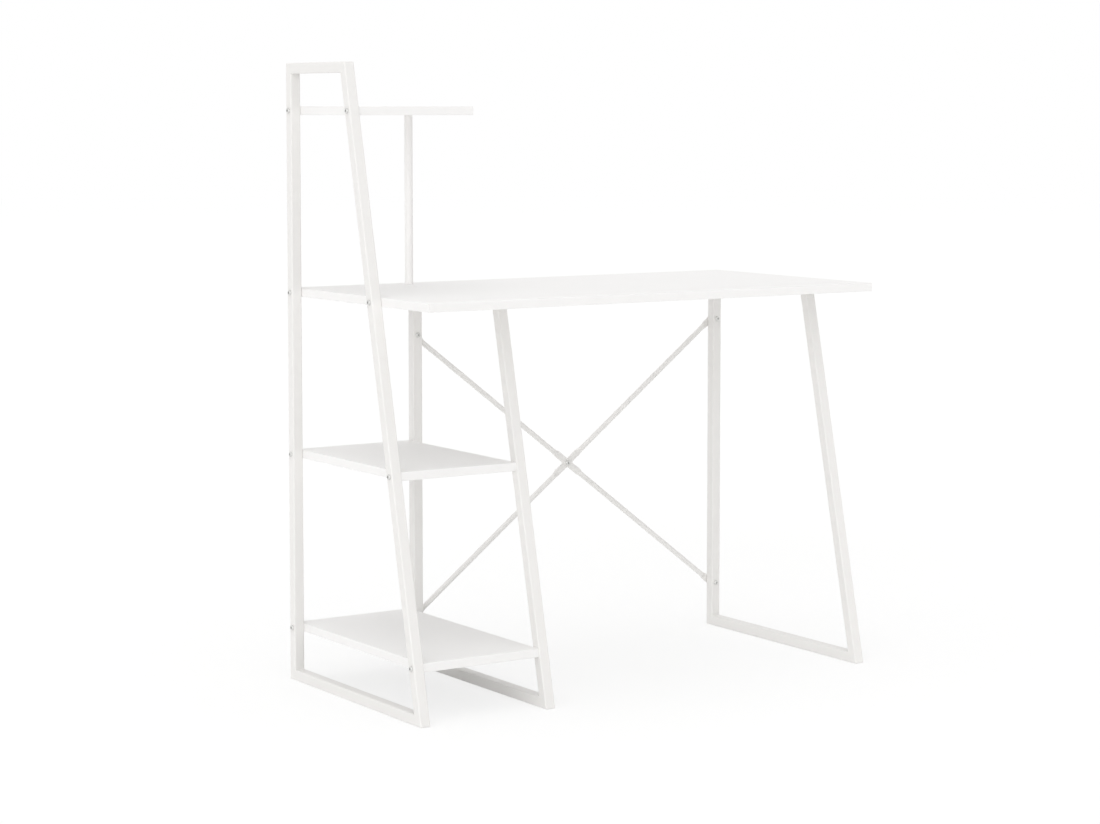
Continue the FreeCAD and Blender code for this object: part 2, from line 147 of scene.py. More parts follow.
# powder coat on the steel: orange peel, a little dust in the gloss, a warm drift in the white
paintLook = {
    "colour": (0.822, 0.810, 0.800, 1),
    "warmColour": (0.808, 0.796, 0.773, 1),
    "driftSize": 0.22,
    "driftDetail": 3.0,
    "peelSize": 0.0021,
    "peelDetail": 1.5,
    "peelRough": 0.4,
    "peelDepth": 0.0003,
    "peelStrength": 0.5,
    "grainSize": 0.00035,
    "grainHeight": 0.25,
    "grainSwing": 0.06,
    "dustFineness": 9,
    "dustDetail": 4.0,
    "dustRough": 0.65,
    "roughness": 0.46,
    "roughnessSwing": 0.14,
    "specular": 0.35,
    "ior": 1.48,
}

# the round post is glossier than the frames, and its paint is made a shade whiter as a painted
# highlight for the light it catches
postGlossAndPaintedHighlight = {
    "colour": (0.905, 0.892, 0.884, 1),
    "warmColour": (0.892, 0.880, 0.866, 1),
    "roughness": 0.30,
    "specular": 0.5,
}


def makePaint(name, look):
    material, bench = newMaterial(name, look["colour"])
    place = bench.make("ShaderNodeTexCoord", output="Object")
    drift = noise(bench, place, look["driftSize"], look["driftDetail"])
    peel = noise(bench, place, look["peelSize"], look["peelDetail"], look["peelRough"])
    grain = noise(bench, place, look["grainSize"])
    dustSize = look["driftSize"] / look["dustFineness"]
    dust = noise(bench, place, dustSize, look["dustDetail"], look["dustRough"])
    dustSwing = (dust - noiseMiddle) * look["roughnessSwing"]
    grainSwing = (grain - noiseMiddle) * look["grainSwing"]
    height = peel + grain * look["grainHeight"]
    coat(bench, {
        "Base Color": mixColours(bench, drift, look["colour"], look["warmColour"]),
        "Roughness": look["roughness"] + dustSwing + grainSwing,
        "Normal": relief(bench, look["peelStrength"], look["peelDepth"], height),
        "IOR": look["ior"],
        "Specular IOR Level": look["specular"],
    })
    return material


# melamine face: pearl emboss in two sizes, satin
boardLook = {
    "colour": (0.886, 0.877, 0.869, 1),
    "shadeColour": (0.870, 0.862, 0.853, 1),
    "cloudSize": 0.16,
    "cloudDetail": 4.0,
    "pearlSize": 0.0013,
    "pearlDepth": 0.00025,
    "pearlStrength": 0.5,
    "pearlSwing": 0.05,
    "fineShare": 0.4,
    "fineHeight": 0.4,
    "smearFineness": 5,
    "smearDetail": 5.0,
    "smearRough": 0.7,
    "roughness": 0.54,
    "roughnessSwing": 0.14,
    "specular": 0.2,
    "ior": 1.5,
}


def makeMelamine(look):
    material, bench = newMaterial("boardMelamine", look["colour"])
    place = bench.make("ShaderNodeTexCoord", output="Object")
    cloud = noise(bench, place, look["cloudSize"], look["cloudDetail"])
    pearl = bench.make(
        "ShaderNodeTexVoronoi", {"feature": "SMOOTH_F1"},
        {"Vector": place, "Scale": 1 / look["pearlSize"]},
    )
    fine = noise(bench, place, look["pearlSize"] * look["fineShare"])
    smearSize = look["cloudSize"] / look["smearFineness"]
    smear = noise(bench, place, smearSize, look["smearDetail"], look["smearRough"])
    smearSwing = (smear - noiseMiddle) * look["roughnessSwing"]
    height = pearl + fine * look["fineHeight"]
    coat(bench, {
        "Base Color": mixColours(bench, cloud, look["colour"], look["shadeColour"]),
        "Roughness": look["roughness"] + smearSwing + pearl * look["pearlSwing"],
        "Normal": relief(bench, look["pearlStrength"], look["pearlDepth"], height),
        "IOR": look["ior"],
        "Specular IOR Level": look["specular"],
    })
    return material


# edge band: smoother than the face, with faint lines from the die along its length
bandLook = {
    "colour": (0.884, 0.875, 0.867, 1),
    "shadeColour": (0.868, 0.860, 0.851, 1),
    "lineSize": 0.0009,
    "lineStretch": (0.02, 0.02, 1.0),
    "lineDetail": 3.0,
    "lineRough": 0.6,
    "lineDepth": 0.00002,
    "lineStrength": 0.25,
    "lineSwing": 0.05,
    "patchSize": 0.03,
    "patchDetail": 3.0,
    "roughness": 0.31,
    "roughnessSwing": 0.1,
    "ior": 1.5,
}


def makeBand(look):
    material, bench = newMaterial("edgeBand", look["colour"])
    place = bench.make("ShaderNodeTexCoord", output="Object")
    drawn = bench.make("ShaderNodeMapping", {}, {"Vector": place, "Scale": look["lineStretch"]})
    lines = noise(bench, drawn, look["lineSize"], look["lineDetail"], look["lineRough"])
    patch = noise(bench, place, look["patchSize"], look["patchDetail"])
    patchSwing = (patch - noiseMiddle) * look["roughnessSwing"]
    coat(bench, {
        "Base Color": mixColours(bench, patch, look["colour"], look["shadeColour"]),
        "Roughness": look["roughness"] + patchSwing + lines * look["lineSwing"],
        "Normal": relief(bench, look["lineStrength"], look["lineDepth"], lines),
        "IOR": look["ior"],
    })
    return material


# zinc plate: crystal mottling, fine turning marks, dull patches
zincLook = {
    "colour": (0.80, 0.80, 0.785, 1),
    "dullColour": (0.62, 0.62, 0.605, 1),
    "crystalSize": 0.0014,
    "crystalShare": 0.6,
    "markSize": 0.0003,
    "markDetail": 3.0,
    "markRough": 0.7,
    "markDepth": 0.00002,
    "markStrength": 0.4,
    "markShare": 0.3,
    "markMiddle": 0.4,
    "roughness": 0.32,
    "roughnessSwing": 0.2,
    # the socket faces take the zinc darkened by this share, painted shade in the recess
    "socketPaintedShade": 0.75,
}


def makeZinc(name, look, darken):
    tint, dull = (
        tuple(channel * darken for channel in look[key][:3]) + (1,)
        for key in ("colour", "dullColour")
    )
    material, bench = newMaterial(name, tint)
    place = bench.make("ShaderNodeTexCoord", output="Object")
    crystal = bench.make(
        "ShaderNodeTexVoronoi", {},
        {"Vector": place, "Scale": 1 / look["crystalSize"]}, "Color",
    )
    shade = bench.make("ShaderNodeSeparateColor", {}, {"Color": crystal})
    marks = noise(bench, place, look["markSize"], look["markDetail"], look["markRough"])
    dullness = shade * look["crystalShare"] + marks * look["markShare"]
    markSwing = (marks - look["markMiddle"]) * look["roughnessSwing"]
    coat(bench, {
        "Base Color": mixColours(bench, dullness, tint, dull),
        "Metallic": 1.0,
        "Roughness": look["roughness"] + markSwing,
        "Normal": relief(bench, look["markStrength"], look["markDepth"], marks),
    })
    return material


framePaint = makePaint("framePaint", paintLook)
# the post's paint is the frame paint made glossier and whiter, the extra whiteness a painted
# highlight
postHighlightPaint = makePaint("postHighlightPaint", {**paintLook, **postGlossAndPaintedHighlight})
boardMelamine = makeMelamine(boardLook)
edgeBand = makeBand(bandLook)
zincSteel = makeZinc("zincSteel", zincLook, 1.0)
# the socket's zinc is the same plate darkened, painted shade in the recess
zincSocketPaintedShade = makeZinc("zincSocketPaintedShade", zincLook, zincLook["socketPaintedShade"])
print("materials made")


# pieces
def addPiece(name, mesh, nodes, materials=()):
    for material in materials:
        mesh.materials.append(material)
    piece = bpy.data.objects.new(name, mesh)
    bpy.context.scene.collection.objects.link(piece)
    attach(piece, "root")
    if nodes:
        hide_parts(*nodes)
    return piece


def shadeSoft(mesh, sharpAngle):
    mesh.shade_smooth()
    mesh.set_sharp_from_angle(angle=math.radians(sharpAngle))
    return mesh


def meshFromRings(name, rings, sharpAngle):
    shape = bmesh.new()
    rows = [[shape.verts.new(spot) for spot in ring] for ring in rings]
    for row, following in zip(rows, rows[1:]):
        for index in range(len(row)):
            after = (index + 1) % len(row)
            shape.faces.new((row[index], row[after], following[after], following[index]))
    caps = [shape.faces.new(list(reversed(rows[0]))), shape.faces.new(rows[-1])]
    bmesh.ops.poke(shape, faces=caps)
    bmesh.ops.recalc_face_normals(shape, faces=shape.faces)
    mesh = bpy.data.meshes.new(name)
    shape.to_mesh(mesh)
    shape.free()
    return shadeSoft(mesh, sharpAngle)


def uprightRing(centre, reach, level, around):
    turns = [2 * math.pi * step / around for step in range(around)]
    return [
        (centre.x + reach * math.cos(turn), centre.y + reach * math.sin(turn), level)
        for turn in turns
    ]


# welded frames: rounded square tube, mitred, corners eased where the weld is ground back
frameLook = {
    "cornerRound": 0.002,
    "roundSteps": 6,
    "mitreEase": 0.0016,
    "mitreSteps": 4,
    "holdFlat": 0.0006,
    "sharpAngle": 38,
}
sideNames = ("left", "middle", "right")
cornerOrder = ("frontFoot", "rearFoot", "rearTop", "frontTop")
barEnds = {
    "foot_bar": ("frontFoot", "rearFoot"),
    "rear_post": ("rearFoot", "rearTop"),
    "top_bar": ("rearTop", "frontTop"),
    "front_leg": ("frontTop", "frontFoot"),
}


def frameCorners(side):
    footLow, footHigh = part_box(f"{side}_frame_foot_bar")
    topLow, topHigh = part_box(f"{side}_frame_top_bar")
    front, rear = footLow.y, footHigh.y
    tube = footHigh.z - footLow.z
    height, barHeight = topHigh.z, topHigh.z - topLow.z
    innerTop = height - barHeight
    lean = (topLow.y - footLow.y) / height
    legDepth = tube * math.sqrt(1 + lean * lean)
    outer = {
        "frontFoot": (front, 0),
        "rearFoot": (rear, 0),
        "rearTop": (rear, height),
        "frontTop": (front + lean * height, height),
    }
    inner = {
        "frontFoot": (front + lean * tube + legDepth, tube),
        "rearFoot": (rear - tube, tube),
        "rearTop": (rear - tube, innerTop),
        "frontTop": (front + lean * innerTop + legDepth, innerTop),
    }

    def inPlane(spots):
        return {corner: Vector((0, back, up)) for corner, (back, up) in spots.items()}

    return {
        "left": footLow.x, "right": footHigh.x, "front": front, "rear": rear,
        "tube": tube, "height": height, "barHeight": barHeight,
        "lean": lean, "legDepth": legDepth,
        "outer": inPlane(outer), "inner": inPlane(inner),
    }


def tubeProfile(deep, wide, look):
    spots = []
    radius, hold = look["cornerRound"], look["holdFlat"]
    corners = ((deep, wide, 0), (0, wide, 90), (0, 0, 180), (deep, 0, 270))
    for depth, across, turn in corners:
        centreDepth = min(max(depth, radius), deep - radius)
        centreAcross = min(max(across, radius), wide - radius)
        arc = []
        for step in range(look["roundSteps"] + 1):
            angle = math.radians(turn + 90 * step / look["roundSteps"])
            arc.append((
                centreDepth + radius * math.cos(angle),
                centreAcross + radius * math.sin(angle),
            ))
        # a close pair of lines beside each round keeps the flats flat
        sine, cosine = math.sin(math.radians(turn)), math.cos(math.radians(turn))
        spots.append((arc[0][0] + hold * sine, arc[0][1] - hold * cosine))
        spots += arc
        spots.append((arc[-1][0] - hold * cosine, arc[-1][1] - hold * sine))
    return spots


def mitreRings(corners, deep, corner, neighbour, other, look):
    # rings from the mitre into the bar that runs from corner to neighbour
    outer, inner = corners["outer"], corners["inner"]
    intoBar = (outer[neighbour] - outer[corner]).normalized()
    intoOther = (outer[other] - outer[corner]).normalized()
    ease = look["mitreEase"]
    shifts = []  # along one half of a curve from this bar into the other
    for step in range(look["mitreSteps"] + 1):
        share = 0.5 * (1 - step / look["mitreSteps"])
        shifts.append(ease * ((1 - share) ** 2 * intoBar + share ** 2 * intoOther))
    shifts.append((ease + look["holdFlat"]) * intoBar)
    rings = []
    for shift in shifts:
        ring = []
        for depth, across in tubeProfile(deep, corners["tube"], look):
            eased = outer[corner].lerp(inner[corner], depth / deep) + shift
            ring.append((corners["left"] + across, eased.y, eased.z))
        rings.append(ring)
    return rings


frames = {side: frameCorners(side) for side in sideNames}
for side in sideNames:
    corners = frames[side]
    for bar, (start, end) in barEnds.items():
        before = cornerOrder[cornerOrder.index(start) - 1]
        after = cornerOrder[(cornerOrder.index(end) + 1) % len(cornerOrder)]
        deep = corners["barHeight" if bar == "top_bar" else "tube"]
        rings = mitreRings(corners, deep, start, end, before, frameLook)
        rings += reversed(mitreRings(corners, deep, end, start, after, frameLook))
        node = f"{side}_frame_{bar}"
        mesh = meshFromRings(node, rings, frameLook["sharpAngle"])
        addPiece(f"{node}_tube", mesh, [node], [framePaint])
print("frames made")


# boards: melamine core and four glued bands with scraped edges
boardSizes = {
    "coreEase": 0.00018,
    "bandEase": 0.00018,
    "easeSteps": 2,
    "bandRound": 0.0009,
    "bandRoundSteps": 4,
    "holdFlat": 0.0004,
    "largeFrom": 6,  # a face this many holds wide is large
    "crispAngle": 60,
    "sharpAngle": 50,
    "hair": 1e-7,  # lengths under this count as nothing
    "facing": 1e-5,
}
boardNames = ("tabletop", "upper_shelf", "middle_shelf", "lower_shelf")


def bevelEdges(shape, edges, size, steps):
    bmesh.ops.bevel(
        shape, geom=edges, offset=size, segments=steps, affect="EDGES",
        profile=0.5, offset_type="OFFSET", clamp_overlap=True,
    )


def easedBlock(low, high, ease, sizes, roundWay=None):
    # a block with eased edges; the edges that face roundWay and run level get the larger round
    shape = bmesh.new()
    bmesh.ops.create_cube(shape, size=1)
    for vert in shape.verts:
        vert.co = Vector([low[axis] if vert.co[axis] < 0 else high[axis] for axis in range(3)])
    if roundWay is not None:
        centre = (low + high) / 2
        chosen = []
        for edge in shape.edges:
            first, second = (vert.co for vert in edge.verts)
            level = abs(first.z - second.z) < sizes["hair"]
            if level and ((first + second) / 2 - centre).dot(roundWay) > sizes["facing"]:
                chosen.append(edge)
        bevelEdges(shape, chosen, sizes["bandRound"], sizes["bandRoundSteps"])
    crispAngle = math.radians(sizes["crispAngle"])
    crisp = [
        edge for edge in shape.edges
        if edge.is_manifold and edge.calc_face_angle() > crispAngle
    ]
    bevelEdges(shape, crisp, ease, sizes["easeSteps"])
    # a close frame inside each large face keeps it flat
    hold = sizes["holdFlat"]
    large = [
        face for face in shape.faces
        if min(edge.calc_length() for edge in face.edges) > sizes["largeFrom"] * hold
    ]
    bmesh.ops.inset_individual(shape, faces=large, thickness=hold, depth=0)
    bmesh.ops.dissolve_degenerate(shape, dist=sizes["hair"], edges=shape.edges)
    return shape


def joinBlocks(name, blocks, sharpAngle):
    whole = bmesh.new()
    for block in blocks:
        part = bpy.data.meshes.new("part")
        block.to_mesh(part)
        block.free()
        whole.from_mesh(part)
        bpy.data.meshes.remove(part)
    mesh = bpy.data.meshes.new(name)
    whole.to_mesh(mesh)
    whole.free()
    return shadeSoft(mesh, sharpAngle)


def bandStrips(low, high, band):
    # lowest and highest corner and outward way: front, rear, left, right
    return (
        (low, Vector((high.x, low.y + band, high.z)), Vector((0, -1, 0))),
        (Vector((low.x, high.y - band, low.z)), high, Vector((0, 1, 0))),
        (
            Vector((low.x, low.y + band, low.z)),
            Vector((low.x + band, high.y - band, high.z)),
            Vector((-1, 0, 0)),
        ),
        (
            Vector((high.x - band, low.y + band, low.z)),
            Vector((high.x, high.y - band, high.z)),
            Vector((1, 0, 0)),
        ),
    )


# countersunk hole for the flush screw, from the board's top down through it
sinkSizes = {
    "headDiameter": 0.012,
    "headHeight": 0.003,
    "hole": 0.0066,
    "breakEdge": 0.00025,
    "overrun": 0.002,
    "around": 64,
    "drillAngle": 30,
    "sharpAngle": 35,
}


def sinkHole(mesh, spot, thick, sizes):
    wide, narrow, ease = sizes["headDiameter"] / 2, sizes["hole"] / 2, sizes["breakEdge"]
    levels = (
        (sizes["overrun"], wide + ease),
        (0.0, wide + ease),
        (-ease, wide),
        (-sizes["headHeight"], narrow),
        (-thick - sizes["overrun"], narrow),
    )
    rings = [uprightRing(spot, reach, spot.z + level, sizes["around"]) for level, reach in levels]
    drill = bpy.data.objects.new("drill", meshFromRings("drill", rings, sizes["drillAngle"]))
    board = bpy.data.objects.new("drilled", mesh)
    for item in (drill, board):
        bpy.context.scene.collection.objects.link(item)
    cutting = board.modifiers.new("cut", "BOOLEAN")
    cutting.operation = "DIFFERENCE"
    cutting.solver = "EXACT"
    cutting.object = drill
    graph = bpy.context.evaluated_depsgraph_get()
    drilled = bpy.data.meshes.new_from_object(board.evaluated_get(graph))
    drilled.name = mesh.name
    for item in (drill, board):
        spare = item.data
        bpy.data.objects.remove(item)
        bpy.data.meshes.remove(spare)
    return shadeSoft(drilled, sizes["sharpAngle"])


postLow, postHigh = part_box("shelf_post")
postCentre = (postLow + postHigh) / 2
for board in boardNames:
    coreLow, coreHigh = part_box(f"{board}_panel")
    low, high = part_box(f"{board}_edge_bands")
    block = easedBlock(coreLow, coreHigh, boardSizes["coreEase"], boardSizes)
    core = joinBlocks(f"{board}_face", [block], boardSizes["sharpAngle"])
    if board == "upper_shelf":
        spot = Vector((postCentre.x, postCentre.y, coreHigh.z))
        core = sinkHole(core, spot, coreHigh.z - coreLow.z, sinkSizes)
    addPiece(f"{board}_face", core, [f"{board}_panel"], [boardMelamine])
    blocks = [
        easedBlock(stripLow, stripHigh, boardSizes["bandEase"], boardSizes, way)
        for stripLow, stripHigh, way in bandStrips(low, high, coreLow.x - low.x)
    ]
    bands = joinBlocks(f"{board}_bands", blocks, boardSizes["sharpAngle"])
    addPiece(f"{board}_bands", bands, [f"{board}_edge_bands"], [edgeBand])
print("boards made")


# post under the upper shelf, its cut ends eased
postLook = {"around": 56, "ease": 0.0006, "easeSteps": 3, "holdFlat": 0.0006, "sharpAngle": 40}


def postMesh(look):
    radius, ease = (postHigh.x - postLow.x) / 2, look["ease"]
    stations = []
    for step in range(look["easeSteps"] + 1):
        angle = math.pi / 2 * step / look["easeSteps"]
        level = postLow.z + ease * (1 - math.cos(angle))
        stations.append((level, radius - ease * (1 - math.sin(angle))))
    stations.append((postLow.z + ease + look["holdFlat"], radius))
    stations += [(postLow.z + postHigh.z - level, reach) for level, reach in reversed(stations)]
    rings = [uprightRing(postCentre, reach, level, look["around"]) for level, reach in stations]
    return meshFromRings("shelf_post", rings, look["sharpAngle"])


addPiece("shelf_post_tube", postMesh(postLook), ["shelf_post"], [postHighlightPaint])
print("post made")


# trees: what goes in, what comes out, and the plain mesh that is left of it
mergeGap = 1e-6


def startTree(name, inputs):
    tree = bpy.data.node_groups.new(name, "GeometryNodeTree")
    tree.interface.new_socket("Geometry", in_out="INPUT", socket_type="NodeSocketGeometry")
    for label, value in inputs.items():
        kind = "NodeSocketInt" if isinstance(value, int) else "NodeSocketFloat"
        socket = tree.interface.new_socket(label, in_out="INPUT", socket_type=kind)
        socket.default_value = value
    tree.interface.new_socket("Geometry", in_out="OUTPUT", socket_type="NodeSocketGeometry")
    bench = Bench(tree)
    return tree, bench, bench.make("NodeGroupInput")


def runTree(name, tree, points, settings, edges=(), ways=()):
    # points with a way each, or lines, go through the tree and come back as one plain mesh
    seeds = bpy.data.meshes.new(f"{name}_points")
    seeds.from_pydata(points, edges, [])
    if ways:
        attribute = seeds.attributes.new("way", "FLOAT_VECTOR", "POINT")
        for index, way in enumerate(ways):
            attribute.data[index].vector = way
    carrier = bpy.data.objects.new(f"{name}_carrier", seeds)
    bpy.context.scene.collection.objects.link(carrier)
    modifier = carrier.modifiers.new("tree", "NODES")
    modifier.node_group = tree
    for item in tree.interface.items_tree:
        if item.in_out == "INPUT" and item.name in settings:
            modifier[item.identifier] = settings[item.name]
    graph = bpy.context.evaluated_depsgraph_get()
    mesh = bpy.data.meshes.new_from_object(carrier.evaluated_get(graph))
    mesh.name = name
    bpy.data.objects.remove(carrier)
    bpy.data.meshes.remove(seeds)
    for spare in ("way", "inSocket"):
        if spare in mesh.attributes:
            mesh.attributes.remove(mesh.attributes[spare])
    return mesh


def closeSeams(bench, shape):
    sockets = {"Geometry": shape, "Distance": mergeGap}
    return bench.make("GeometryNodeMergeByDistance", {}, sockets)


def softenEdges(bench, shape, crispAngle):
    smooth = bench.make(
        "GeometryNodeSetShadeSmooth", {"domain": "FACE"},
        {"Geometry": shape, "Shade Smooth": True},
    )
    bend = bench.make("GeometryNodeInputMeshEdgeAngle")
    return bench.make(
        "GeometryNodeSetShadeSmooth", {"domain": "EDGE"},
        {"Geometry": smooth, "Selection": bend > math.radians(crispAngle), "Shade Smooth": False},
    )


def realWith(bench, shape, material):
    real = bench.make("GeometryNodeRealizeInstances", {}, {"Geometry": shape})
    return bench.make("GeometryNodeSetMaterial", {}, {"Geometry": real, "Material": material})


# weld beads across the inner corners of the frames, rippled, under the paint
weldLook = {
    "inputs": {"Bead Radius": 0.0019, "Ripple Pitch": 0.0021, "Ripple Depth": 0.16, "Steps": 64},
    "sideGap": 0.0012,
    "lift": 0.0002,
    "endPower": 8.0,
    "around": 16,
    "crispAngle": 60,
}


def weldTree(look):
    tree, bench, given = startTree("weldRipple", look["inputs"])
    line = bench.make("GeometryNodeMeshToCurve", {}, {"Mesh": given.also("Geometry")})
    fine = bench.make(
        "GeometryNodeResampleCurve", {}, {"Curve": line, "Count": given.also("Steps")},
    )
    along = bench.make("GeometryNodeSplineParameter", output="Length")
    share = bench.make("GeometryNodeSplineParameter", output="Factor")
    wave = along / given.also("Ripple Pitch") * math.pi
    ripple = wave.calc("SINE").calc("ABSOLUTE")
    fromMiddle = (share - 0.5) * 2
    taper = 1 - fromMiddle.calc("ABSOLUTE").calc("POWER", look["endPower"])
    taper = taper.calc("MAXIMUM", 0.0).calc("SQRT")
    bead = given.also("Bead Radius") * taper * (1 - given.also("Ripple Depth") * (1 - ripple))
    outline = bench.make(
        "GeometryNodeCurvePrimitiveCircle", {}, {"Resolution": look["around"], "Radius": 1.0},
    )
    drawn = bench.make(
        "GeometryNodeCurveToMesh", {},
        {"Curve": fine, "Profile Curve": outline, "Scale": bead, "Fill Caps": True},
    )
    soft = softenEdges(bench, closeSeams(bench, drawn), look["crispAngle"])
    bench.make("NodeGroupOutput", {}, {"Geometry": realWith(bench, soft, framePaint)})
    return tree


weldRipple = weldTree(weldLook)
for side in sideNames:
    corners = frames[side]
    points = []
    for corner in cornerOrder:
        inner = corners["inner"][corner]
        spot = inner + (inner - corners["outer"][corner]).normalized() * weldLook["lift"]
        points.append((corners["left"] + weldLook["sideGap"], spot.y, spot.z))
        points.append((corners["right"] - weldLook["sideGap"], spot.y, spot.z))
    lines = [(2 * number, 2 * number + 1) for number in range(len(cornerOrder))]
    mesh = runTree(f"{side}_frame_welds", weldRipple, points, weldLook["inputs"], edges=lines)
    addPiece(f"{side}_frame_welds", mesh, [])
print("welds made")


# braces: thin tube pressed flat at its ends and at the crossing, each shaped by the same rule
braceLook = {
    "inputs": {
        "Tube Radius": 0.005, "Flat Width": 0.014, "Flat Thickness": 0.002, "Taper": 0.012,
        "Centre Reach": 0.030, "End Reach": 0.0193, "Length": 0.9, "Side": 1.0, "Turn": 0.0,
    },
    "steps": {"centre": 2, "innerTaper": 10, "run": 12, "outerTaper": 10, "tab": 2, "tip": 10},
    "around": 40,
    "widePower": 0.62,
    "thickPower": 0.30,
    "seamHair": 1e-5,
    "crispAngle": 50,
}


def braceTree(look):
    tree, bench, given = startTree("braceTube", look["inputs"])
    marks, reach = {}, 0
    for stage, count in look["steps"].items():
        marks[stage] = (float(reach), float(reach + count))
        reach += count
    around = look["around"]
    sheet = bench.make(
        "GeometryNodeMeshGrid", {},
        {
            "Size X": 2 * reach, "Size Y": around,
            "Vertices X": 2 * reach + 1, "Vertices Y": around + 1,
        },
    )
    spot = bench.make("ShaderNodeSeparateXYZ", {}, {0: bench.make("GeometryNodeInputPosition")})
    fromMiddle, hand = spot.also("X").calc("ABSOLUTE"), spot.also("X").calc("SIGN")
    turn = (spot.also("Y") + around / 2) * (2 * math.pi / around)
    cosine, sine = turn.calc("COSINE"), turn.calc("SINE")

    def stretch(stage, length, easing="LINEAR"):
        start, end = marks[stage]
        return bench.make(
            "ShaderNodeMapRange", {"interpolation_type": easing},
            {0: fromMiddle, 1: start, 2: end, 3: 0.0, 4: length},
        )

    def squash(wave, power):
        # a hair is taken off first, so that the seam closes where the wave is nearly nothing
        size = (wave.calc("ABSOLUTE") - look["seamHair"]).calc("MAXIMUM", 0.0)
        return wave.calc("SIGN") * size.calc("POWER", power)

    taper, centre, end = given.also("Taper"), given.also("Centre Reach"), given.also("End Reach")
    half, radius = given.also("Length") / 2, given.also("Tube Radius")
    wide, thick = given.also("Flat Width") / 2, given.also("Flat Thickness") / 2
    tipAngle = stretch("tip", math.pi / 2)
    along = stretch("centre", centre) + stretch("innerTaper", taper)
    along = along + stretch("run", half - end - 2 * taper - centre)
    along = along + stretch("outerTaper", taper) + stretch("tab", end)
    along = along + wide * tipAngle.calc("SINE")
    centreFlat = 1 - stretch("innerTaper", 1.0, "SMOOTHSTEP")
    flatness = centreFlat + stretch("outerTaper", 1.0, "SMOOTHSTEP")
    flatUp = wide * tipAngle.calc("COSINE") * squash(cosine, look["widePower"])
    flatBack = thick * squash(sine, look["thickPower"])
    up = radius * cosine * (1 - flatness) + flatUp * flatness
    back = radius * sine * (1 - flatness) + flatBack * flatness
    back = back + given.also("Side") * thick * centreFlat
    place = bench.make("ShaderNodeCombineXYZ", {}, {0: hand * along, 1: back, 2: up})
    shaped = bench.make("GeometryNodeSetPosition", {}, {"Geometry": sheet, "Position": place})
    soft = softenEdges(bench, closeSeams(bench, shaped), look["crispAngle"])
    spin = bench.make(
        "FunctionNodeAxisAngleToRotation", {}, {"Axis": (0, 1, 0), "Angle": given.also("Turn")},
    )
    placed = bench.make(
        "GeometryNodeInstanceOnPoints", {},
        {"Points": given.also("Geometry"), "Instance": soft, "Rotation": spin},
    )
    bench.make("NodeGroupOutput", {}, {"Geometry": realWith(bench, placed, framePaint)})
    return tree


braceLow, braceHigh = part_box("falling_brace")
flatThick = braceLook["inputs"]["Flat Thickness"]
tipReach = braceLook["inputs"]["Flat Width"] / 2
bracePosts = (braceLow.x + tipReach, braceHigh.x - tipReach)
braceLevels = (braceLow.z + tipReach, braceHigh.z - tipReach)
braceEnds = [(across, level) for across in bracePosts for level in braceLevels]
crossing = ((braceLow.x + braceHigh.x) / 2, (braceLow.z + braceHigh.z) / 2)
braceRun, braceRise = bracePosts[1] - bracePosts[0], braceLevels[1] - braceLevels[0]
rearFace = frames["middle"]["rear"]
postFace = rearFace - frames["middle"]["tube"]
braceTube = braceTree(braceLook)
for node, side in (("falling_brace", -1.0), ("rising_brace", 1.0)):
    settings = {
        **braceLook["inputs"], "Side": side, "Length": math.hypot(braceRun, braceRise),
        "Turn": -side * math.atan2(braceRise, braceRun),
    }
    middle = (crossing[0], rearFace + flatThick / 2, crossing[1])
    mesh = runTree(node, braceTube, [middle], settings)
    addPiece(f"{node}_tube", mesh, [node])
print("braces made")


# hardware: a lathe in nodes, its rings given as (radius, height, hexagon share)
latheLook = {"around": 48, "crispAngle": 32}
hexSector = math.pi / 3


